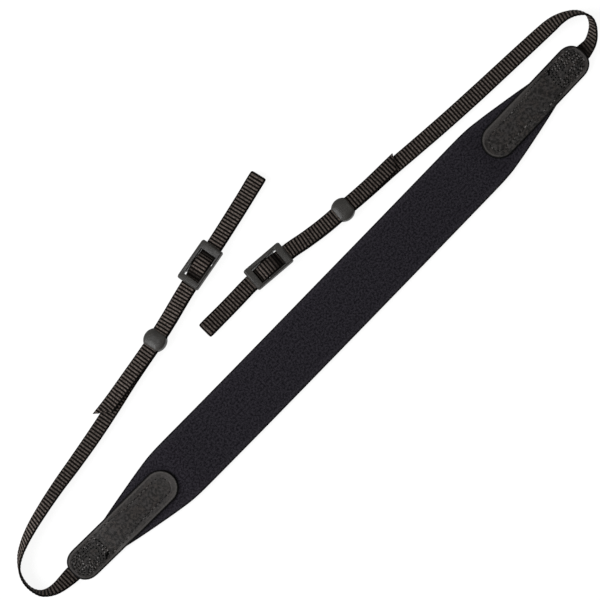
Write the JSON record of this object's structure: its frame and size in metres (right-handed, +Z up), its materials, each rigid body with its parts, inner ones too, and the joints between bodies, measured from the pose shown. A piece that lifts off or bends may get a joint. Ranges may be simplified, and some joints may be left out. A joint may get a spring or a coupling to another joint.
{
  "type": "camera neck strap",
  "caption": "Camera neck strap lying flat: long foam pad with stitched leather tabs, ribbed webbing doubled back through slide buckles and keepers, flat loops for the camera lugs.",
  "frame": {"origin": "on the table, under the middle of the whole strap's bounding box", "axes": "+X along the pad from end a to end b, +Y to the side where both webbings lie, +Z up from the table"},
  "size_m": [0.4806, 0.1132, 0.0107],
  "materials": {
    "pad_fabric": "dark knitted jersey over foam",
    "tab_leather": "smooth dark grey leather with a burnished edge",
    "backing_leather": "plain dark leather",
    "webbing": "ribbed dark grey webbing",
    "hardware": "satin moulded plastic"
  },
  "bodies": {
    "root": {"pad": "pad_fabric", "tab_a": "tab_leather", "tab_b": "tab_leather", "backing_a": "backing_leather", "backing_b": "backing_leather", "webbing_a": "webbing", "webbing_b": "webbing", "keeper_a": "hardware", "keeper_b": "hardware", "buckle_a": "hardware", "buckle_b": "hardware"}
  },
  "joints": []
}
